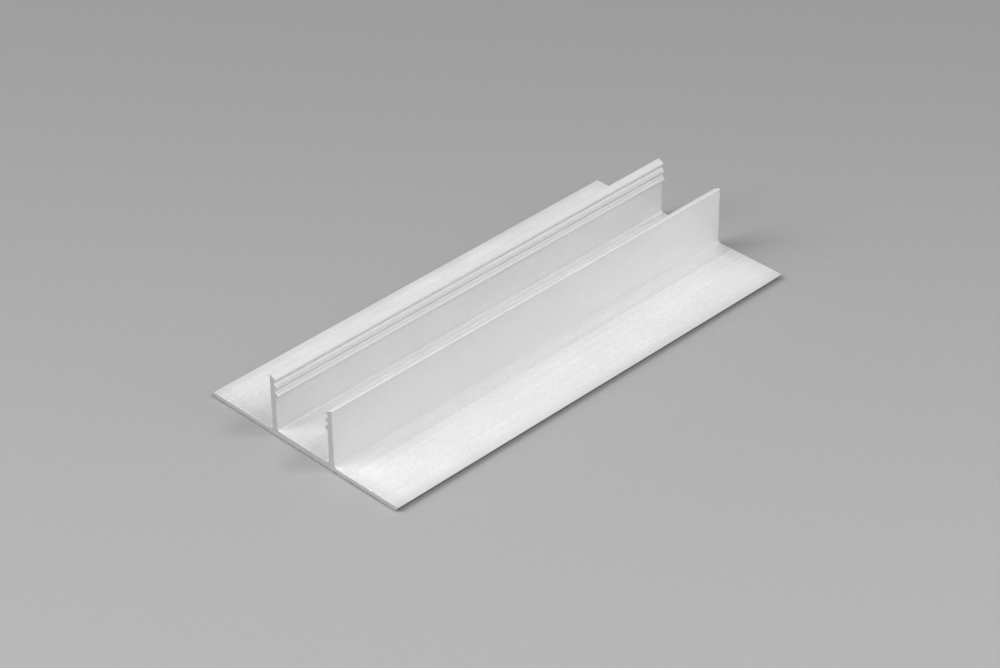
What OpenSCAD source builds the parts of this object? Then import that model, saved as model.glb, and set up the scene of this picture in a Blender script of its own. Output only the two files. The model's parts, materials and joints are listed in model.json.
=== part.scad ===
// Aluminium base profile for a press-in cover strip, extruded in one piece and sawn square.
// Two wide flanges carry an upright channel, and barbs inside its walls grip what is pressed in.
// The section lies in X and Z, the length runs along Y, and the underside rests on Z = 0.

/* [Overall] */
// Length between the sawn ends
length = 100; // [40:1:400]
// Width over both flanges
base_w = 48.2; // [40:0.1:100]
// Height from the underside to the top of the walls
height = 13.1; // [12:0.1:30]

/* [Base] */
// Thickness of the flanges
flange_t = 1.1; // [0.8:0.1:2]
// Step from the flange tops up to the channel bed
bed_step = 0.35; // [0.1:0.05:0.5]
// Width over which the underside curves up towards each flange edge
edge_run = 1.5; // [0.8:0.1:2.5]
// Thickness left at each flange edge, above that curve
edge_nose = 0.25; // [0.2:0.05:0.5]
// Rounding on top of each flange edge
edge_r = 0.1; // [0.05:0.01:0.15]

/* [Channel] */
// Clear width between the walls, below the barbs
channel_w = 13.5; // [10:0.1:25]
// Thickness of each wall, below the barbs
wall_t = 1.25; // [1.2:0.05:2]
// Fillet between a wall and the channel bed
bed_fillet_r = 0.6; // [0.2:0.05:1]
// Fillet between a wall and its flange
flange_fillet_r = 0.8; // [0.2:0.05:1.2]
// Rounding on the outer top corner of each wall
wall_top_r = 0.2; // [0.1:0.05:0.3]

/* [Barbs] */
// Barbs on each wall, the rounded wall head among them
barb_count = 3; // [2:1:4]
// Drop from one barb tip to the next
barb_pitch = 1.65; // [1.3:0.05:2]
// Reach of the wall head past the inner wall face
head_reach = 0.25; // [0.15:0.05:0.5]
// Slope of the wall tops down into the channel, in degrees from level
head_slope = 22; // [10:1:35]
// Radius from that slope round to the head's tip
head_lead_r = 0.35; // [0.3:0.05:0.5]
// Extra reach of each barb over the one above it
reach_step = 0.18; // [0:0.01:0.3]
// Depth of the gaps between the barbs, cut into the wall face
gap_depth = 0.22; // [0.1:0.01:0.4]
// Slope of the upper flank that lets the strip in, in degrees from level
lead_angle = 45; // [35:1:60]
// Slope of the lower flank that holds the strip, in degrees from level
hold_angle = 42; // [20:1:50]
// Radius on the barb tips
tip_r = 0.3; // [0.1:0.01:0.35]

/* [Marking lines] */
// Width of the V lines along the channel bed
line_w = 0.25; // [0.1:0.05:0.6]
// Depth of the V lines
line_depth = 0.1; // [0.05:0.05:0.3]
// Distance from a wall face to the middle of its side line
side_line_inset = 1.5; // [1.3:0.1:3]

/* [Hidden] */
$fn = 96;
bed_z = flange_t + bed_step;
wall_face_x = channel_w / 2;
wall_outer_x = wall_face_x + wall_t;
neck_x = wall_face_x + gap_depth;
head_x = wall_face_x - head_reach + head_lead_r;
peak_x = wall_outer_x - wall_top_r;
peak_z = height - wall_top_r;
slope_top_x = peak_x - wall_top_r * sin(head_slope);
slope_top_z = peak_z + wall_top_r * cos(head_slope);
slope_foot_x = head_x - head_lead_r * sin(head_slope);
slope_foot_z = slope_top_z - (slope_top_x - slope_foot_x) * tan(head_slope);
head_tip_z = slope_foot_z - head_lead_r * cos(head_slope);
last_tip_z = head_tip_z - (barb_count - 1) * barb_pitch;
edge_rise = flange_t - edge_nose;
edge_curve_r = (edge_run * edge_run + edge_rise * edge_rise) / (2 * edge_rise);
side_line_x = wall_face_x - side_line_inset;
// How far the shapes of the section run into each other, so that they join
overlap = flange_t / 4;

// Reach past the wall face of barb i, counted down from the head
function barb_reach(i) = head_reach + i * reach_step;

// A hollow-sided corner of radius r at the origin: added it is a fillet, cut away it rounds an edge
module hollow_corner(r) {
    difference() {
        translate([-overlap, -overlap]) square(r + overlap);
        translate([r, r]) circle(r);
    }
}

// Everything below the curve that lifts the underside at the right-hand flange edge
module edge_curve_waste() {
    translate([base_w / 2 - edge_run, 0]) difference() {
        translate([0, -overlap]) square([edge_run + overlap, edge_rise + overlap]);
        translate([0, edge_curve_r]) circle(edge_curve_r);
    }
}

// Flanges with their upturned edges, and the thicker bed between the walls
module base_section() {
    difference() {
        translate([-base_w / 2, 0]) square([base_w, flange_t]);
        for (side = [0, 1]) mirror([side, 0]) {
            edge_curve_waste();
            translate([base_w / 2, flange_t]) rotate(180) hollow_corner(edge_r);
        }
    }
    translate([-neck_x, overlap]) square([2 * neck_x, bed_z - overlap]);
}

// The tip of a barb and the flank below it that holds the strip, pointing towards -X.
// The wall face lies at X = 0 and the tip is level with Y = 0.
module barb_hook(reach) {
    tip_centre_x = tip_r - reach;
    hold_x = tip_centre_x - tip_r * sin(hold_angle);
    hold_y = -tip_r * cos(hold_angle);
    root_y = hold_y - (gap_depth - hold_x) * tan(hold_angle);
    polygon([
        [tip_centre_x, tip_r],
        [hold_x, hold_y],
        [gap_depth, root_y],
        [gap_depth + overlap, root_y],
        [gap_depth + overlap, tip_r]
    ]);
    translate([tip_centre_x, 0]) circle(tip_r);
}

// The flank above a barb's tip that lets the strip in, placed as its hook is
module barb_lead(reach) {
    tip_centre_x = tip_r - reach;
    lead_x = tip_centre_x - tip_r * sin(lead_angle);
    lead_y = tip_r * cos(lead_angle);
    root_y = lead_y + (gap_depth - lead_x) * tan(lead_angle);
    polygon([
        [tip_centre_x, 0],
        [gap_depth + overlap, 0],
        [gap_depth + overlap, root_y],
        [gap_depth, root_y],
        [lead_x, lead_y]
    ]);
}

// The quarter round, centred on the origin, that leads a strip from the sloping wall top to the head's tip
module head_lead() {
    intersection() {
        circle(head_lead_r);
        translate([-head_lead_r, 0]) square([head_lead_r + overlap, head_lead_r]);
    }
}

// The upright of one right-hand wall, stepped back behind the barbs and the head
module wall_core() {
    polygon([
        [wall_face_x, overlap],
        [wall_outer_x, overlap],
        [wall_outer_x, peak_z],
        [peak_x, peak_z],
        [slope_top_x, slope_top_z],
        [slope_foot_x, slope_foot_z],
        [head_x, head_tip_z],
        [neck_x, head_tip_z],
        [neck_x, last_tip_z],
        [wall_face_x, last_tip_z]
    ]);
}

// One right-hand wall with its fillets, its barbs reaching in towards the middle of the channel
module wall_section() {
    wall_core();
    translate([peak_x, peak_z]) circle(wall_top_r);
    translate([head_x, head_tip_z]) head_lead();
    for (i = [0 : barb_count - 1]) translate([wall_face_x, head_tip_z - i * barb_pitch]) {
        barb_hook(barb_reach(i));
        if (i > 0) barb_lead(barb_reach(i));
    }
    translate([wall_face_x, bed_z]) mirror([1, 0]) hollow_corner(bed_fillet_r);
    translate([wall_outer_x, flange_t]) hollow_corner(flange_fillet_r);
}

// A V line sunk into the channel bed
module marking_line() {
    translate([0, bed_z]) polygon([
        [-line_w / 2, line_depth],
        [-line_w / 2, 0],
        [0, -line_depth],
        [line_w / 2, 0],
        [line_w / 2, line_depth]
    ]);
}

module profile_section() {
    difference() {
        union() {
            base_section();
            for (side = [0, 1]) mirror([side, 0]) wall_section();
        }
        for (x = [-side_line_x, 0, side_line_x]) translate([x, 0]) marking_line();
    }
}

module profile() {
    color([0.87, 0.88, 0.88])
        rotate([90, 0, 0])
            linear_extrude(length, center = true) profile_section();
}

profile();
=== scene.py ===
import json
from math import atan, cos, radians, sin, tan
from types import SimpleNamespace

import bpy
from mathutils import Matrix, Vector


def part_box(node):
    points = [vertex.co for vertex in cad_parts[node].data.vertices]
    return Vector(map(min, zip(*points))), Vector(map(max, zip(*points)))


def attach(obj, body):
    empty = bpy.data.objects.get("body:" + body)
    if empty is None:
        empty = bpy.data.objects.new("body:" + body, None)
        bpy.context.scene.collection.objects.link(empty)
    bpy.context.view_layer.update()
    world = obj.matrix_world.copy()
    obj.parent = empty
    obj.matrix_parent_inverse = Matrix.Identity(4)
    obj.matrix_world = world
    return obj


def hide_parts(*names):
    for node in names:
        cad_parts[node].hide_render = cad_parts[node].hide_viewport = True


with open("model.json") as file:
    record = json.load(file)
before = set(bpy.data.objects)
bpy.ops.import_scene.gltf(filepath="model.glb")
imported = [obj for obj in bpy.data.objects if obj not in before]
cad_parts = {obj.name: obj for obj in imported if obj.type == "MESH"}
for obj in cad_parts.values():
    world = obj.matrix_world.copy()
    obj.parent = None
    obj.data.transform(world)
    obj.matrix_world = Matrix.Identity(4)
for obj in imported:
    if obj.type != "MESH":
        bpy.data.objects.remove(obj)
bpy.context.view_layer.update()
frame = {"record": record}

MM = 0.001

# Sizes of the section, in millimetres. The part's source holds the same values.
low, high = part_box("profile")
LENGTH = (high[1] - low[1]) / MM
BASE_W = (high[0] - low[0]) / MM
HEIGHT = (high[2] - low[2]) / MM

FLANGE_T = 1.1
BED_STEP = 0.35
EDGE_RUN = 1.5
EDGE_NOSE = 0.25
EDGE_R = 0.1

CHANNEL_W = 13.5
WALL_T = 1.25
BED_FILLET_R = 0.6
FLANGE_FILLET_R = 0.8
WALL_TOP_R = 0.2

BARB_COUNT = 3
BARB_PITCH = 1.65
HEAD_REACH = 0.25
HEAD_SLOPE = radians(22)
HEAD_LEAD_R = 0.35
REACH_STEP = 0.18
GAP_DEPTH = 0.22
LEAD_ANGLE = radians(45)
HOLD_ANGLE = radians(42)
TIP_R = 0.3

LINE_W = 0.25
LINE_DEPTH = 0.1
SIDE_LINE_INSET = 1.5

HALF_L = LENGTH / 2
HALF_W = BASE_W / 2
BED_Z = FLANGE_T + BED_STEP
FACE_X = CHANNEL_W / 2
OUTER_X = FACE_X + WALL_T
NECK_X = FACE_X + GAP_DEPTH
SIDE_LINE_X = FACE_X - SIDE_LINE_INSET

# Small roundings that a worn die leaves in every sharp corner
DIE_CORNER_R = 0.06
# Fine lines that the die drags along the right flange: distance from the middle, width, depth, and how much darker they
# are painted
DIE_LINES = ((10.67, 0.16, 0.025, 0.08), (11.22, 0.2, 0.04, 0.13), (12.52, 0.16, 0.02, 0.06),
             (13.07, 0.16, 0.025, 0.08), (14.35, 0.16, 0.015, 0.035), (14.9, 0.16, 0.015, 0.035))

# The saw's burr is brushed off the cut ends
END_BREAK = 0.04
# The lower edge of each cut, where the blade breaks out, is rounded further
UNDER_BREAK = 0.08
# Two roundings that meet leave a sliver of straight between them
ROOM_BETWEEN = 0.95
CORNER_STEPS = 7
LENGTH_STATIONS = 8


def v_line(x, z, width, depth):
    """Corners of a V line sunk into a level face, met from right to left."""
    return [(x + width / 2, z, DIE_CORNER_R), (x, z - depth, DIE_CORNER_R), (x - width / 2, z, DIE_CORNER_R)]


def barb_tip(tip_z, reach):
    """Where the two flanks of a barb would meet if its tip were sharp."""
    centre_x = FACE_X - reach + TIP_R
    lead_x, lead_z = centre_x - TIP_R * sin(LEAD_ANGLE), tip_z + TIP_R * cos(LEAD_ANGLE)
    hold_x, hold_z = centre_x - TIP_R * sin(HOLD_ANGLE), tip_z - TIP_R * cos(HOLD_ANGLE)
    lead_slope, hold_slope = tan(LEAD_ANGLE), tan(HOLD_ANGLE)
    x = (hold_z - lead_z + lead_x * lead_slope + hold_x * hold_slope) / (lead_slope + hold_slope)
    return x, lead_z + (x - lead_x) * lead_slope


def gap_corners(upper, lower):
    """Corners of the gap between two barb tips: a flat neck, or a plain V where the flanks meet before it."""
    hold_z = upper[1] - (NECK_X - upper[0]) * tan(HOLD_ANGLE)
    lead_z = lower[1] + (NECK_X - lower[0]) * tan(LEAD_ANGLE)
    if hold_z - lead_z > DIE_CORNER_R:
        return [(NECK_X, hold_z, DIE_CORNER_R), (NECK_X, lead_z, DIE_CORNER_R)]
    v_x = NECK_X - (lead_z - hold_z) / (tan(LEAD_ANGLE) + tan(HOLD_ANGLE))
    return [(v_x, lower[1] + (v_x - lower[0]) * tan(LEAD_ANGLE), DIE_CORNER_R)]


def edge_corners():
    """Corners of the right flange edge, from the underside that curves up to it round to the flange top."""
    edge_rise = FLANGE_T - EDGE_NOSE
    curve_r = (EDGE_RUN ** 2 + edge_rise ** 2) / (2 * edge_rise)
    curve_turn = 2 * atan(edge_rise / EDGE_RUN)
    curve_corner_x = HALF_W - EDGE_RUN + curve_r * tan(curve_turn / 2)
    return [(curve_corner_x, 0, curve_r * ROOM_BETWEEN), (HALF_W, edge_rise, DIE_CORNER_R),
            (HALF_W, FLANGE_T, EDGE_R)]


def wall_corners():
    """Corners of the right wall, from its foot on the flange over its top and the barbs to its foot on the bed."""
    # The wall top slopes from a rounded peak on its outer face down to the head's tip
    head_x = FACE_X - HEAD_REACH
    peak_z = HEIGHT + WALL_TOP_R * (1 / cos(HEAD_SLOPE) + tan(HEAD_SLOPE) - 1)
    slope_foot_z = peak_z - (OUTER_X - head_x) * tan(HEAD_SLOPE)
    head_tip_z = slope_foot_z - HEAD_LEAD_R * tan(radians(45) - HEAD_SLOPE / 2)
    head_foot_z = head_tip_z - TIP_R * tan(radians(45) - HOLD_ANGLE / 2)
    corners = [(OUTER_X, FLANGE_T, FLANGE_FILLET_R), (OUTER_X, peak_z, WALL_TOP_R),
               (head_x, slope_foot_z, HEAD_LEAD_R * ROOM_BETWEEN), (head_x, head_foot_z, TIP_R)]
    above = (head_x, head_foot_z)
    for i in range(1, BARB_COUNT):
        tip = barb_tip(head_tip_z - i * BARB_PITCH, HEAD_REACH + i * REACH_STEP)
        corners += gap_corners(above, tip)
        corners.append((*tip, TIP_R))
        above = tip
    corners.append((FACE_X, above[1] - (FACE_X - above[0]) * tan(HOLD_ANGLE), DIE_CORNER_R))
    corners.append((FACE_X, BED_Z, BED_FILLET_R))
    return corners


def half_corners(die_lines):
    """Corners of a right half as (x, z, corner radius), from the underside round to the channel bed."""
    corners = edge_corners()
    for x, width, depth, _ in reversed(die_lines):
        corners += v_line(x, FLANGE_T, width, depth)
    return corners + wall_corners() + v_line(SIDE_LINE_X, BED_Z, LINE_W, LINE_DEPTH)


def section_corners():
    """Corners of the whole section, counter-clockwise seen with X to the right and Z up."""
    left = [(-x, z, r) for x, z, r in reversed(half_corners(()))]
    return half_corners(DIE_LINES) + v_line(0, BED_Z, LINE_W, LINE_DEPTH) + left


# Helpers that build nodes, for shapes and finishes alike

def add(tree, kind, values=None, **settings):
    """A new node with its settings, and with its inputs set by name or place to values or linked to sockets."""
    made = tree.nodes.new(kind)
    for name, value in settings.items():
        setattr(made, name, value)
    for name, value in (values or {}).items():
        if isinstance(value, bpy.types.NodeSocket):
            tree.links.new(value, made.inputs[name])
        else:
            made.inputs[name].default_value = value
    return made


def maths(tree, operation, *values):
    """One sum, with numbers or sockets as its values."""
    return add(tree, "ShaderNodeMath", dict(enumerate(values)), operation=operation).outputs[0]


def negative(tree, value):
    return maths(tree, "MULTIPLY", value, -1.0)


def product(tree, *values):
    made = values[0]
    for value in values[1:]:
        made = maths(tree, "MULTIPLY", made, value)
    return made


def total(tree, *values):
    made = values[0]
    for value in values[1:]:
        made = maths(tree, "ADD", made, value)
    return made


def new_input(tree, name, kind):
    tree.interface.new_socket(name=name, in_out="INPUT", socket_type="NodeSocket" + kind)


def new_output(tree, name, kind):
    tree.interface.new_socket(name=name, in_out="OUTPUT", socket_type="NodeSocket" + kind)


def one_axis(tree, vector, axis):
    """One coordinate of a vector."""
    return add(tree, "ShaderNodeSeparateXYZ", {0: vector}).outputs[axis]


def up(tree, z):
    """A vector along the Z axis, on which the path lies until the piece is turned."""
    return add(tree, "ShaderNodeCombineXYZ", {"Z": z}).outputs[0]


# The extruded length

# How steeply a face of the section looks down before its sawn edge is broken further, and where that is in full
DOWN_FROM, DOWN_FULL = -0.7, -1.0
# Edges that bend less than this shade smooth
SMOOTH_BELOW = radians(28)
# Faces that look along the length more than this are the sawn ends
SAWN_FACING = 0.9


def rounded_section(tree, given):
    """The section with its corners rounded, in the XY plane until the piece is turned to lie along Y."""
    loop = add(tree, "GeometryNodeMeshToCurve", {"Mesh": given["Section"]})
    radius = add(tree, "GeometryNodeInputNamedAttribute", {"Name": "corner_radius"}, data_type="FLOAT")
    rounded = add(tree, "GeometryNodeFilletCurve",
                  {"Curve": loop.outputs[0], "Count": given["Corner steps"], "Radius": radius.outputs[0],
                   "Limit Radius": True}, mode="POLY")
    tangent = add(tree, "GeometryNodeInputTangent")
    outward = add(tree, "ShaderNodeVectorMath", {0: tangent.outputs[0], 1: (0, 0, 1)}, operation="CROSS_PRODUCT")
    section = add(tree, "GeometryNodeStoreNamedAttribute",
                  {"Geometry": rounded.outputs[0], "Name": "outward", "Value": outward.outputs[0]},
                  data_type="FLOAT_VECTOR", domain="POINT")
    return section.outputs[0]


def stations_along(tree, given, half):
    """The path with its stations, of which one lies just inside each end for the broken edge."""
    path = add(tree, "GeometryNodeCurvePrimitiveLine", {"Start": up(tree, negative(tree, half)), "End": up(tree, half)})
    stations = add(tree, "GeometryNodeResampleCurve",
                   {"Curve": path.outputs[0], "Count": given["Stations"]}, mode="COUNT")
    index = add(tree, "GeometryNodeInputIndex").outputs[0]
    last_but_one = maths(tree, "SUBTRACT", given["Stations"], 2.0)
    near_foot = add(tree, "FunctionNodeCompare", {2: index, 3: 1}, data_type="INT", operation="EQUAL")
    near_head = add(tree, "FunctionNodeCompare", {0: index, 1: last_but_one}, data_type="FLOAT", operation="EQUAL")
    inner = maths(tree, "SUBTRACT", half, given["End break"])
    for chosen, place in ((near_foot, negative(tree, inner)), (near_head, inner)):
        stations = add(tree, "GeometryNodeSetPosition",
                       {"Geometry": stations.outputs[0], "Selection": chosen.outputs[0], "Position": up(tree, place)})
    return stations.outputs[0]


def broken_ends(tree, given, half, drawn):
    """The drawn length with the edges of its sawn ends broken."""
    place = one_axis(tree, add(tree, "GeometryNodeInputPosition").outputs[0], "Z")
    from_middle = maths(tree, "ABSOLUTE", place)

    # The rows at the very ends step in, and further where the face looks down
    rim = maths(tree, "SUBTRACT", half, maths(tree, "MULTIPLY", given["End break"], 0.5))
    at_end = add(tree, "FunctionNodeCompare", {0: from_middle, 1: rim}, data_type="FLOAT", operation="GREATER_THAN")
    outward = add(tree, "GeometryNodeInputNamedAttribute", {"Name": "outward"}, data_type="FLOAT_VECTOR").outputs[0]
    faces_down = add(tree, "ShaderNodeMapRange",
                     {"Value": one_axis(tree, outward, "Y"), "From Min": DOWN_FROM, "From Max": DOWN_FULL,
                      "To Min": 0.0, "To Max": 1.0}).outputs[0]
    further = maths(tree, "MULTIPLY", faces_down,
                    maths(tree, "SUBTRACT", given["Lower end break"], given["End break"]))
    depth_in = maths(tree, "ADD", given["End break"], further)
    step_in = add(tree, "ShaderNodeVectorMath", {0: outward, "Scale": negative(tree, depth_in)}, operation="SCALE")
    stepped = add(tree, "GeometryNodeSetPosition",
                  {"Geometry": drawn, "Selection": at_end.outputs[0], "Offset": step_in.outputs[0]})

    # In the rows just inside them, the lower edge's break starts further from the end
    behind_rim = maths(tree, "SUBTRACT", half, maths(tree, "MULTIPLY", given["End break"], 1.5))
    past_it = maths(tree, "GREATER_THAN", from_middle, behind_rim)
    inner_row = maths(tree, "MULTIPLY", past_it, maths(tree, "LESS_THAN", from_middle, rim))
    towards_middle = maths(tree, "MULTIPLY", maths(tree, "SIGN", place), negative(tree, further))
    broken = add(tree, "GeometryNodeSetPosition",
                 {"Geometry": stepped.outputs[0], "Selection": inner_row, "Offset": up(tree, towards_middle)})
    return broken.outputs[0]


def extrusion_tree():
    """Rounds the section's corners, draws it out to its length and breaks the sawn edges."""
    tree = bpy.data.node_groups.new("Extruded length", "GeometryNodeTree")
    new_input(tree, "Section", "Geometry")
    for name in ("Length", "End break", "Lower end break"):
        new_input(tree, name, "Float")
    for name in ("Corner steps", "Stations"):
        new_input(tree, name, "Int")
    for name in ("Skin", "Sawn end"):
        new_input(tree, name, "Material")
    new_output(tree, "Piece", "Geometry")
    given = add(tree, "NodeGroupInput").outputs

    half = maths(tree, "MULTIPLY", given["Length"], 0.5)
    drawn = add(tree, "GeometryNodeCurveToMesh",
                {"Curve": stations_along(tree, given, half), "Profile Curve": rounded_section(tree, given),
                 "Fill Caps": True})
    broken = broken_ends(tree, given, half, drawn.outputs[0])

    # Rounded corners shade smooth, and everything sharper stays crisp
    bend = add(tree, "GeometryNodeInputMeshEdgeAngle").outputs["Unsigned Angle"]
    soft = add(tree, "FunctionNodeCompare", {0: bend, 1: SMOOTH_BELOW}, data_type="FLOAT", operation="LESS_THAN")
    shaded = add(tree, "GeometryNodeSetShadeSmooth", {"Geometry": broken, "Shade Smooth": soft.outputs[0]},
                 domain="EDGE")

    laid = add(tree, "GeometryNodeTransform", {"Geometry": shaded.outputs[0], "Rotation": (radians(90), 0, 0)})
    real = add(tree, "GeometryNodeRealizeInstances", {"Geometry": laid.outputs[0]})
    skinned = add(tree, "GeometryNodeSetMaterial", {"Geometry": real.outputs[0], "Material": given["Skin"]})
    facing = one_axis(tree, add(tree, "GeometryNodeInputNormal").outputs[0], "Y")
    cut = add(tree, "FunctionNodeCompare", {0: maths(tree, "ABSOLUTE", facing), 1: SAWN_FACING},
              data_type="FLOAT", operation="GREATER_THAN")
    sawn = add(tree, "GeometryNodeSetMaterial",
               {"Geometry": skinned.outputs[0], "Selection": cut.outputs[0], "Material": given["Sawn end"]})
    add(tree, "NodeGroupOutput", {0: sawn.outputs[0]})
    return tree


def drawn_profile(skin, sawn_end):
    """The whole extrusion as one plain mesh."""
    corners = section_corners()
    outline = bpy.data.meshes.new("section")
    count = len(corners)
    outline.from_pydata([(x * MM, z * MM, 0) for x, z, r in corners],
                        [(i, (i + 1) % count) for i in range(count)], [])
    radius = outline.attributes.new("corner_radius", "FLOAT", "POINT")
    radius.data.foreach_set("value", [r * MM for x, z, r in corners])
    shape = bpy.data.objects.new("section", outline)
    bpy.context.scene.collection.objects.link(shape)

    tree = extrusion_tree()
    modifier = shape.modifiers.new("Extruded length", "NODES")
    modifier.node_group = tree
    values = {"Length": LENGTH * MM, "End break": END_BREAK * MM, "Lower end break": UNDER_BREAK * MM,
              "Corner steps": CORNER_STEPS, "Stations": LENGTH_STATIONS,
              "Skin": skin, "Sawn end": sawn_end}
    for socket in tree.interface.items_tree:
        if socket.name in values:
            modifier[socket.identifier] = values[socket.name]

    evaluated = shape.evaluated_get(bpy.context.evaluated_depsgraph_get())
    mesh = bpy.data.meshes.new_from_object(evaluated)
    mesh.name = "drawn_profile"
    bpy.data.objects.remove(shape)
    piece = bpy.data.objects.new("drawn_profile", mesh)
    bpy.context.scene.collection.objects.link(piece)
    return piece


# Finishes

ALUMINIUM = sum(frame["record"]["materials"][0]["base_color"][:3]) / 3

# Grains to the millimetre, and how the streaks are squeezed along X, Y and Z
GRAIN_PER_MM = 2.4
STREAK_SQUEEZE = (3.0, 0.03, 3.0)
SAWN_GRAIN_PER_MM = 4.0
SAW_SQUEEZE = (0.25, 1.0, 9.0)
CLOUDS_PER_MM = 0.11
# Strength and depth of the fine relief
RELIEF = 0.6
RELIEF_DEPTH = 0.02
# The usual range of a noise value
NOISE_LOW, NOISE_HIGH = 0.3, 0.7


def object_mm(tree):
    """Object coordinates, in millimetres."""
    place = add(tree, "ShaderNodeTexCoord").outputs["Object"]
    return add(tree, "ShaderNodeVectorMath", {0: place, "Scale": 1 / MM}, operation="SCALE").outputs[0]


def grain_group():
    """Grain, streaks and broad clouds of bare aluminium, as values around a half."""
    tree = bpy.data.node_groups.new("Aluminium grain", "ShaderNodeTree")
    new_input(tree, "Place", "Vector")
    new_input(tree, "Grain per mm", "Float")
    new_input(tree, "Streak squeeze", "Vector")
    for name in ("Grain", "Streak", "Cloud"):
        new_output(tree, name, "Float")
    given = add(tree, "NodeGroupInput").outputs
    grain = add(tree, "ShaderNodeTexNoise",
                {"Vector": given["Place"], "Scale": given["Grain per mm"], "Detail": 3.0, "Roughness": 0.6})
    squeezed = add(tree, "ShaderNodeVectorMath", {0: given["Place"], 1: given["Streak squeeze"]}, operation="MULTIPLY")
    streak = add(tree, "ShaderNodeTexNoise",
                 {"Vector": squeezed.outputs[0], "Scale": 1.0, "Detail": 4.0, "Roughness": 0.65})
    cloud = add(tree, "ShaderNodeTexNoise", {"Vector": given["Place"], "Scale": CLOUDS_PER_MM, "Detail": 2.0})
    add(tree, "NodeGroupOutput", {0: grain.outputs[0], 1: streak.outputs[0], 2: cloud.outputs[0]})
    return tree


def placed_grain(tree, grain, place, per_mm, squeeze):
    """The grain group in a material, with its own fineness and direction."""
    return add(tree, "ShaderNodeGroup", {"Place": place, "Grain per mm": per_mm, "Streak squeeze": squeeze},
               node_tree=grain).outputs


def spread(tree, noise, low_to, high_to):
    """A noise value, stretched from its usual range to another one."""
    return add(tree, "ShaderNodeMapRange",
               {"Value": noise, "From Min": NOISE_LOW, "From Max": NOISE_HIGH, "To Min": low_to, "To Max": high_to}
               ).outputs[0]


def rise(tree, value, start, end, low_to=0.0, high_to=1.0):
    """A soft step between two numbers where a value goes from start to end."""
    return add(tree, "ShaderNodeMapRange",
               {"Value": value, "From Min": start, "From Max": end, "To Min": low_to, "To Max": high_to},
               interpolation_type="SMOOTHSTEP").outputs[0]


def band(tree, value, start, full, fading, gone):
    """One between full and fading, with soft steps down to nothing at start and at gone."""
    return product(tree, rise(tree, value, start, full), rise(tree, value, gone, fading))


def away_from(tree, value, place):
    """How far a value lies from a place, on either side."""
    return maths(tree, "ABSOLUTE", maths(tree, "SUBTRACT", value, place))


def new_finish(name):
    material = bpy.data.materials.new(name)
    material.use_nodes = True
    tree = material.node_tree
    return material, tree, tree.nodes["Principled BSDF"]


def finish_metal(tree, shader, tone, rough, marks, grain_share, streak_share):
    """Links a tone, a roughness and a fine relief of grain and streaks to a bare metal."""
    tree.links.new(maths(tree, "MULTIPLY", tone, ALUMINIUM), shader.inputs["Base Color"])
    tree.links.new(rough, shader.inputs["Roughness"])
    height = total(tree, product(tree, marks["Grain"], grain_share), product(tree, marks["Streak"], streak_share))
    bump = add(tree, "ShaderNodeBump", {"Strength": RELIEF, "Distance": RELIEF_DEPTH * MM, "Height": height})
    tree.links.new(bump.outputs[0], shader.inputs["Normal"])
    shader.inputs["Metallic"].default_value = 1.0


# Tones of the skin, as shares of the metal's own colour, chosen by measure to look like the photo.
# A pair of places, in millimetres, is a soft step from its first to its second. Across is the distance from the
# middle plane, and along the distance from half-way down the length.

# Grain, streaks and clouds, with the strengths in the channel and on the flanges
FLANGE_ACROSS = (8.2, 9.4)
GRAIN_TONES = (0.026, 0.04)
STREAK_TONES = (0.012, 0.03)
CLOUD_TONE = 0.01
# The outer flanges are pebbled and pale, the left one more so; the paleness is partly painted light, and the left one's
# extra is painted light
PEBBLED_ACROSS = (10.4, 13.2)
LEFT_TO_RIGHT = (-1.0, 1.0)
PALER_WITH_PAINTED_LIGHT = (0.075, 0.02)

# Painted shade darkens the flanges towards their outer edges; a painted sheen brightens the top of the right wall, and
# a little painted shade darkens the left one
OUTER_FLANGE_SHADE_ACROSS = (21.5, 24.4)
OUTER_FLANGE_SHADE_TONES = (0.07, 0.13)
WALL_TOP_Z = (12.3, 12.5)
WALL_TOP_ACROSS = (7.99, 7.88)
RIGHT_HALF_X = (0.0, 1.0)
SHEEN_BY_SIDE = (-0.3, 1.0)
SHEEN_TONES = (0.05, 0.13)
# Painted shade on the outer top corner of each wall
OUTER_CORNER_ACROSS = (7.9, 7.96)
OUTER_CORNER_Z = (12.8, 12.88)
OUTER_CORNER_SHADE = -0.12
# Painted light on the outer wall faces, brightening towards the back and towards the top
OUTER_FACE_ACROSS = (7.9, 7.97)
OUTER_FACE_Z = (1.3, 1.9)
BACKWARDS_Y = (-20.0, 45.0)
BACKWARDS_LIGHT = (0.005, 0.045)
UPWARDS_Z = (5.0, 11.0)
UPWARDS_LIGHT = (0.0, 0.025)

# Bands of tone along the barbed inner faces, by height: start, full, fading, gone, and the tone that each adds
INNER_FACE_ACROSS = (FACE_X + 0.5, FACE_X + 0.3)
# Painted shade on all the barbs and on the second barb's lower flank, a thin darker line on the third barb, and painted
# light in the shade under the head and under the second barb
ALL_BARBS_SHADE = (8.6, 9.2, 12.6, 13.0, -0.03)
SECOND_BARB_SHADE = (10.82, 10.97, 11.07, 11.22, -0.08)
THIRD_BARB = (9.46, 9.55, 9.61, 9.7, -0.11)
UNDER_HEAD_LIGHT = (11.6, 11.8, 12.2, 12.35, 0.2)
UNDER_SECOND_BARB_LIGHT = (10.0, 10.15, 10.45, 10.6, 0.07)
# Painted shade in the corners at the feet of the walls, on the flange side and on the bed side
FLANGE_FOOT_FROM_WALL = (0.63, 0.74, 1.05, 1.45)
FLANGE_FOOT_Z = (2.1, 1.7)
FLANGE_FOOT_ACROSS = (7.2, 7.6)
FLANGE_FOOT_SHADE = -0.06
BED_FOOT_Z = (1.47, 1.6, 1.85, 2.3)
BED_FOOT_ACROSS = (7.2, 7.0)
BED_FOOT_SHADE = -0.065

# Painted shade on the left of the bed near its ends
BED_ACROSS = (6.4, 6.0)
BED_TOP_Z = (1.7, 1.5)
BED_END_SHADE_ALONG = (36.0, 49.0)
BED_END_SHADE_X = (0.5, -1.5)
BED_END_SHADE_TONE = -0.06
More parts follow.
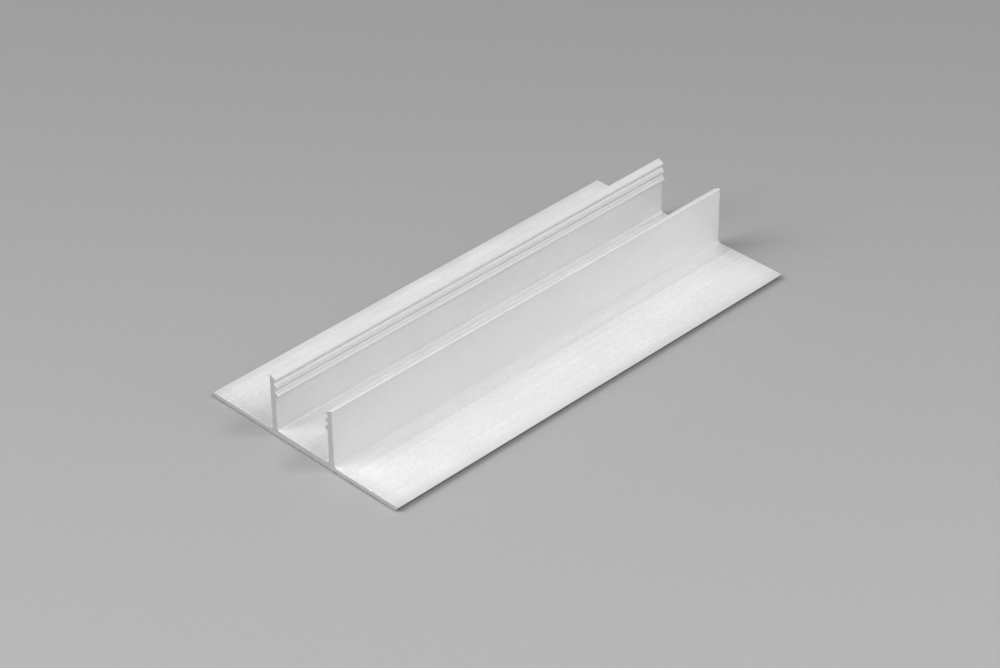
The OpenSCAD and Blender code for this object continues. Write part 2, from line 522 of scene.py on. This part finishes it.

# Painted shade on the thin flange edges below their tops, and a painted shadow on the lower edges of the sawn ends
EDGE_SHADE_ACROSS = (HALF_W - 0.6, HALF_W - 0.2)
EDGE_SHADE_Z = (FLANGE_T - 0.06, FLANGE_T - 0.14)
EDGE_SHADE_TONE = -0.45
END_SHADOW_ALONG = (HALF_L - 0.2, HALF_L - 0.1)
END_SHADOW_Z = (0.14, 0.06)
END_SHADOW_TONES = (0.5, 0.8)

# Lines painted darker, on the upper faces alone: full and gone as shares of a line's width from its middle
UPPER_FACES_Z = (0.7, 0.9)
LINE_DARK_FULL, LINE_DARK_GONE = 0.15, 0.55
MIDDLE_LINE_TONE = 0.09
# The side lines of the bed are dark at the front end alone, and bright further back, where painted light lifts the
# shade of the groove
SIDE_LINE_SHIFT = 0.04
SIDE_LINE_REACH = (0.14, 0.05)
SIDE_LINE_Y = (-40.0, -26.0)
SIDE_LINE_DARK_AND_LIT = (-0.08, 0.06)

# Painted glints on the burr along the sawn edges, where the grain is high, and flanges a little darker near their ends
BURR_GLINT_ALONG = (HALF_L - 0.4, HALF_L - 0.05)
BURR_GLINT_GRAIN = (0.52, 0.7)
BURR_GLINT_TONES = (-0.04, 0.18)
FLANGE_END_ALONG = (HALF_L - 4.0, HALF_L - 0.5)
FLANGE_END_ACROSS = (8.5, 9.5)
FLANGE_END_TONE = -0.05

SKIN_ROUGH = (0.79, 0.83)
STREAK_ROUGH = 0.03
PEBBLED_ROUGH = 0.03


def skin_places(tree, place):
    """Coordinates on the skin, and the distances that its tones go by."""
    x, y, z = add(tree, "ShaderNodeSeparateXYZ", {0: place}).outputs
    across = maths(tree, "ABSOLUTE", x)
    return SimpleNamespace(x=x, y=y, z=z, across=across, along=maths(tree, "ABSOLUTE", y),
                           from_wall=away_from(tree, across, (FACE_X + OUTER_X) / 2),
                           pebbled=rise(tree, across, *PEBBLED_ACROSS))


def drawn_tone(tree, at, marks):
    """Grain, streaks and clouds of the drawn metal, and the pale outer flanges, partly painted light."""
    on_flange = rise(tree, at.across, *FLANGE_ACROSS)
    flecks = product(tree, spread(tree, marks["Grain"], -1.0, 1.0), rise(tree, on_flange, 0.0, 1.0, *GRAIN_TONES))
    streaks = product(tree, spread(tree, marks["Streak"], -1.0, 1.0), rise(tree, on_flange, 0.0, 1.0, *STREAK_TONES))
    clouds = spread(tree, marks["Cloud"], -CLOUD_TONE, CLOUD_TONE)
    paler_with_painted_light = product(tree, at.pebbled, rise(tree, at.x, *LEFT_TO_RIGHT, *PALER_WITH_PAINTED_LIGHT))
    return total(tree, flecks, streaks, clouds, paler_with_painted_light)


def painted_light_tone(tree, at, marks):
    """Painted shade towards the outer flange edges, a painted sheen on the right wall top and a little painted shade on
    the left one, painted shade at the walls' outer top corners, and painted light on the outer wall faces.
    """
    outer_flange_shade = product(tree, rise(tree, at.across, *OUTER_FLANGE_SHADE_ACROSS), spread(tree, marks["Grain"], *OUTER_FLANGE_SHADE_TONES))
    painted_sheen = product(tree, rise(tree, at.z, *WALL_TOP_Z), rise(tree, at.across, *WALL_TOP_ACROSS),
                       rise(tree, at.x, *RIGHT_HALF_X, *SHEEN_BY_SIDE), spread(tree, marks["Grain"], *SHEEN_TONES))
    painted_lift = total(tree, rise(tree, at.y, *BACKWARDS_Y, *BACKWARDS_LIGHT),
                    rise(tree, at.z, *UPWARDS_Z, *UPWARDS_LIGHT))
    outer_face_light = product(tree, rise(tree, at.z, *OUTER_FACE_Z), rise(tree, at.across, *OUTER_FACE_ACROSS), painted_lift)
    outer_corner_shade = product(tree, rise(tree, at.across, *OUTER_CORNER_ACROSS), rise(tree, at.z, *OUTER_CORNER_Z),
                           OUTER_CORNER_SHADE)
    return total(tree, painted_sheen, outer_face_light, outer_corner_shade, negative(tree, outer_flange_shade))


def channel_tone(tree, at):
    """Painted light and shade on the barbed faces, and painted shade in the corners at the feet of the walls and on the
    bed near its ends.
    """
    inner_face = rise(tree, at.across, *INNER_FACE_ACROSS)
    barbs = [product(tree, inner_face, band(tree, at.z, *heights), tone)
             for *heights, tone in (ALL_BARBS_SHADE, SECOND_BARB_SHADE, THIRD_BARB, UNDER_HEAD_LIGHT, UNDER_SECOND_BARB_LIGHT)]
    flange_foot_shade = product(tree, band(tree, at.from_wall, *FLANGE_FOOT_FROM_WALL), rise(tree, at.z, *FLANGE_FOOT_Z),
                          rise(tree, at.across, *FLANGE_FOOT_ACROSS), FLANGE_FOOT_SHADE)
    bed_foot_shade = product(tree, band(tree, at.z, *BED_FOOT_Z), rise(tree, at.across, *BED_FOOT_ACROSS), BED_FOOT_SHADE)
    on_bed = product(tree, rise(tree, at.across, *BED_ACROSS), rise(tree, at.z, *BED_TOP_Z))
    bed_end_shade = product(tree, on_bed, rise(tree, at.along, *BED_END_SHADE_ALONG), rise(tree, at.x, *BED_END_SHADE_X), BED_END_SHADE_TONE)
    return total(tree, *barbs, flange_foot_shade, bed_foot_shade, bed_end_shade)


def shade_and_line_tone(tree, at, marks):
    """Painted shade on the flange edges, a painted shadow on the lower edges of the sawn ends, the lines painted
    darker, and painted light further back in the side lines of the bed.
    """
    edges = product(tree, rise(tree, at.across, *EDGE_SHADE_ACROSS), rise(tree, at.z, *EDGE_SHADE_Z), EDGE_SHADE_TONE)
    ends = product(tree, rise(tree, at.along, *END_SHADOW_ALONG), rise(tree, at.z, *END_SHADOW_Z),
                   spread(tree, marks["Grain"], *END_SHADOW_TONES))
    upper = rise(tree, at.z, *UPPER_FACES_Z)
    shade_and_lines = total(tree, edges, negative(tree, ends))
    for line_x, width, _, tone in ((0.0, LINE_W, LINE_DEPTH, MIDDLE_LINE_TONE), *DIE_LINES):
        line_dark = rise(tree, away_from(tree, at.x, line_x), width * LINE_DARK_FULL, width * LINE_DARK_GONE, tone, 0.0)
        shade_and_lines = maths(tree, "SUBTRACT", shade_and_lines, product(tree, line_dark, upper))
    side_line = rise(tree, away_from(tree, at.across, SIDE_LINE_X - SIDE_LINE_SHIFT), *SIDE_LINE_REACH)
    return total(tree, shade_and_lines, product(tree, side_line, upper, rise(tree, at.y, *SIDE_LINE_Y, *SIDE_LINE_DARK_AND_LIT)))


def end_tone(tree, at, marks):
    """Painted glints on the burr along the sawn edges, and the flanges near their ends."""
    burr_glints = product(tree, rise(tree, at.along, *BURR_GLINT_ALONG), rise(tree, marks["Grain"], *BURR_GLINT_GRAIN, *BURR_GLINT_TONES))
    flange_ends = product(tree, rise(tree, at.along, *FLANGE_END_ALONG), rise(tree, at.across, *FLANGE_END_ACROSS),
                          FLANGE_END_TONE)
    return total(tree, burr_glints, flange_ends)


def skin_material(grain):
    """Bare extruded face: matt silver, streaked along the length, pebbled on the outer flanges."""
    material, tree, shader = new_finish("extruded_skin")
    place = object_mm(tree)
    marks = placed_grain(tree, grain, place, GRAIN_PER_MM, STREAK_SQUEEZE)
    at = skin_places(tree, place)
    tone = total(tree, 1.0, drawn_tone(tree, at, marks), painted_light_tone(tree, at, marks), channel_tone(tree, at),
                 shade_and_line_tone(tree, at, marks), end_tone(tree, at, marks))
    rough = total(tree, spread(tree, marks["Cloud"], *SKIN_ROUGH),
                  spread(tree, marks["Streak"], -STREAK_ROUGH, STREAK_ROUGH),
                  product(tree, at.pebbled, PEBBLED_ROUGH))
    finish_metal(tree, shader, tone, rough, marks, grain_share=0.6, streak_share=0.4)
    return material


# Tones of the sawn ends, with a painted shadow along the lower edge, thicker in some places than in others
SAWN_GRAIN_TONE = 0.07
SAW_STROKE_TONES = (0.81, 0.89)
SHADOW_TOP_Z = (0.05, 0.23)
SHADOW_FADE = (-0.03, 0.03)
SHADOWED_TO_LIT = (0.06, 1.0)
SAWN_ROUGH = (0.7, 0.78)


def sawn_material(grain):
    """Sawn end: matt and speckled, with fine strokes of the blade."""
    material, tree, shader = new_finish("sawn_end")
    place = object_mm(tree)
    marks = placed_grain(tree, grain, place, SAWN_GRAIN_PER_MM, SAW_SQUEEZE)
    tone = total(tree, spread(tree, marks["Grain"], -SAWN_GRAIN_TONE, SAWN_GRAIN_TONE),
                 spread(tree, marks["Streak"], *SAW_STROKE_TONES))
    above_shadow = maths(tree, "SUBTRACT", one_axis(tree, place, "Z"), spread(tree, marks["Grain"], *SHADOW_TOP_Z))
    tone = product(tree, tone, rise(tree, above_shadow, *SHADOW_FADE, *SHADOWED_TO_LIT))
    rough = spread(tree, marks["Streak"], *SAWN_ROUGH)
    finish_metal(tree, shader, tone, rough, marks, grain_share=0.5, streak_share=0.5)
    return material


# The studio sheet under the piece, in millimetres towards the back, with its tone at the front and the back; its
# darkening towards the back is painted shade
TOWARDS_BACK = (-0.707, 0.707, 0.0)
SHEET_FRONT, SHEET_BACK = -120.0, 130.0
SHEET_TONES_WITH_PAINTED_SHADE = (0.41, 0.34)
FIBRES_PER_MM = 0.8
FIBRE_TONES = (0.985, 1.015)
FLOOR_HALF = 3.0


def floor_material():
    """Pale grey studio sheet, with painted shade that darkens it gently towards the back."""
    material, tree, shader = new_finish("studio_floor")
    place = object_mm(tree)
    depth = add(tree, "ShaderNodeVectorMath", {0: place, 1: TOWARDS_BACK}, operation="DOT_PRODUCT")
    tone = rise(tree, depth.outputs["Value"], SHEET_FRONT, SHEET_BACK, *SHEET_TONES_WITH_PAINTED_SHADE)
    fibre = add(tree, "ShaderNodeTexNoise", {"Vector": place, "Scale": FIBRES_PER_MM, "Detail": 4.0})
    shade = maths(tree, "MULTIPLY", tone, spread(tree, fibre.outputs[0], *FIBRE_TONES))
    tree.links.new(shade, shader.inputs["Base Color"])
    shader.inputs["Roughness"].default_value = 0.9
    shader.inputs["Specular IOR Level"].default_value = 0.1
    return material


# The piece

grain = grain_group()
profile = drawn_profile(skin_material(grain), sawn_material(grain))
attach(profile, "root")
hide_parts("profile")

# Floor, light and camera

floor_mesh = bpy.data.meshes.new("studio_floor")
floor_mesh.from_pydata([(-FLOOR_HALF, -FLOOR_HALF, 0), (FLOOR_HALF, -FLOOR_HALF, 0),
                        (FLOOR_HALF, FLOOR_HALF, 0), (-FLOOR_HALF, FLOOR_HALF, 0)], [], [(0, 1, 2, 3)])
floor_mesh.materials.append(floor_material())
studio_floor = bpy.data.objects.new("studio_floor", floor_mesh)
bpy.context.scene.collection.objects.link(studio_floor)

scene = bpy.context.scene
ROOM_LIGHT = 0.1
world = bpy.data.worlds.new("studio")
world.use_nodes = True
world.node_tree.nodes["Background"].inputs["Color"].default_value = (1, 1, 1, 1)
world.node_tree.nodes["Background"].inputs["Strength"].default_value = ROOM_LIGHT
scene.world = world

# Soft lamps round the piece: name, bearing from +X and elevation in degrees, width and depth in metres, watts
LAMP_DISTANCE = 0.9
LAMPS = (("high_left_softbox", 243, 65, 0.45, 0.6, 3.05),
         ("low_left_softbox", 243, 35, 0.45, 0.5, 3.8),
         ("high_right_softbox", 36, 55, 0.2, 0.2, 1.7),
         ("side_softbox", 0, 50, 0.4, 0.4, 2.52),
         ("low_side_softbox", 20, 25, 0.45, 0.35, 0.95))


def from_origin(bearing, elevation, distance):
    """A place in metres, by its bearing from +X, its elevation and its distance."""
    flat = distance * cos(radians(elevation))
    return Vector((flat * cos(radians(bearing)), flat * sin(radians(bearing)), distance * sin(radians(elevation))))


def softbox(name, place, width, depth, watts):
    """A soft lamp at a place in metres, turned towards the origin."""
    lamp = bpy.data.lights.new(name, "AREA")
    lamp.shape = "RECTANGLE"
    lamp.size, lamp.size_y = width, depth
    lamp.energy = watts
    thing = bpy.data.objects.new(name, lamp)
    thing.location = place
    thing.rotation_euler = (-place).to_track_quat("-Z", "Y").to_euler()
    scene.collection.objects.link(thing)


for name, bearing, elevation, width, depth, watts in LAMPS:
    softbox(name, from_origin(bearing, elevation, LAMP_DISTANCE), width, depth, watts)

CAMERA_AT = Vector((331.87, -328.13, 326.48)) * MM
AZIMUTH, ELEVATION, ROLL = radians(45.4386), radians(34.9284), radians(-0.6824)
camera_data = bpy.data.cameras.new("photo_camera")
camera_data.sensor_width = 36.0
camera_data.lens = 111.016
camera_data.clip_start = 0.01
camera = bpy.data.objects.new("photo_camera", camera_data)
backward = Vector((sin(AZIMUTH) * cos(ELEVATION), -cos(AZIMUTH) * cos(ELEVATION), sin(ELEVATION)))
rightward = Vector((cos(AZIMUTH), sin(AZIMUTH), 0))
upward = backward.cross(rightward)
turn = Matrix((rightward * cos(ROLL) + upward * sin(ROLL), upward * cos(ROLL) - rightward * sin(ROLL),
               backward)).transposed()
camera.matrix_world = Matrix.Translation(CAMERA_AT) @ turn.to_4x4()
scene.collection.objects.link(camera)
scene.camera = camera

scene.view_settings.view_transform = "Standard"
